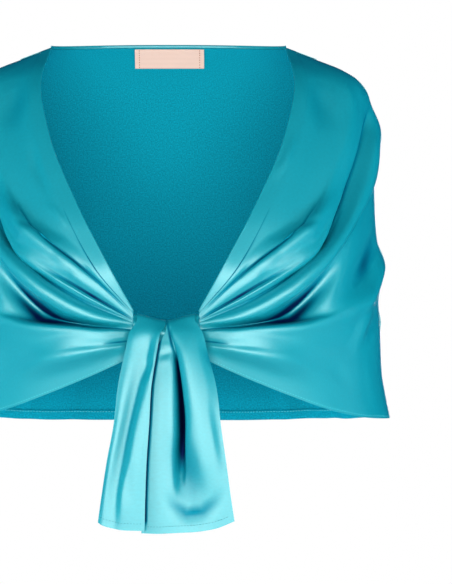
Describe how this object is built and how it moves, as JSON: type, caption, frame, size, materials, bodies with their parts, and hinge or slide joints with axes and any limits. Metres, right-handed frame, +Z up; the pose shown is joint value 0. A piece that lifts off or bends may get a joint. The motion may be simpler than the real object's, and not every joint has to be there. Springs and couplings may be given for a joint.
{
  "type": "bolero jacket",
  "caption": "Hollow worn satin bolero: a cape back and two gathered fronts over the shoulders, tied in a knot at the front with two hanging tails.",
  "frame": {"origin": "in the shoulder plane, midway between the two shoulders and at half the height of their slope, where the wearer's shoulders hold the garment", "axes": "+X to the wearer's left, -Y the way the front faces, +Z up"},
  "size_m": [0.4652, 0.2564, 0.5062],
  "materials": {
    "satin": "turquoise satin, shiny face",
    "satin_wrong_side": "turquoise satin, dull wrong side",
    "label_cloth": "blush woven label, bare"
  },
  "bodies": {
    "root": {"back": "satin", "front_right": "satin", "front_left": "satin", "front_band_right": "satin", "front_band_left": "satin", "back_neck_band": "satin", "back_hem": "satin_wrong_side", "label": "label_cloth", "knot": "satin", "tail_right": "satin", "tail_left": "satin"}
  },
  "joints": []
}
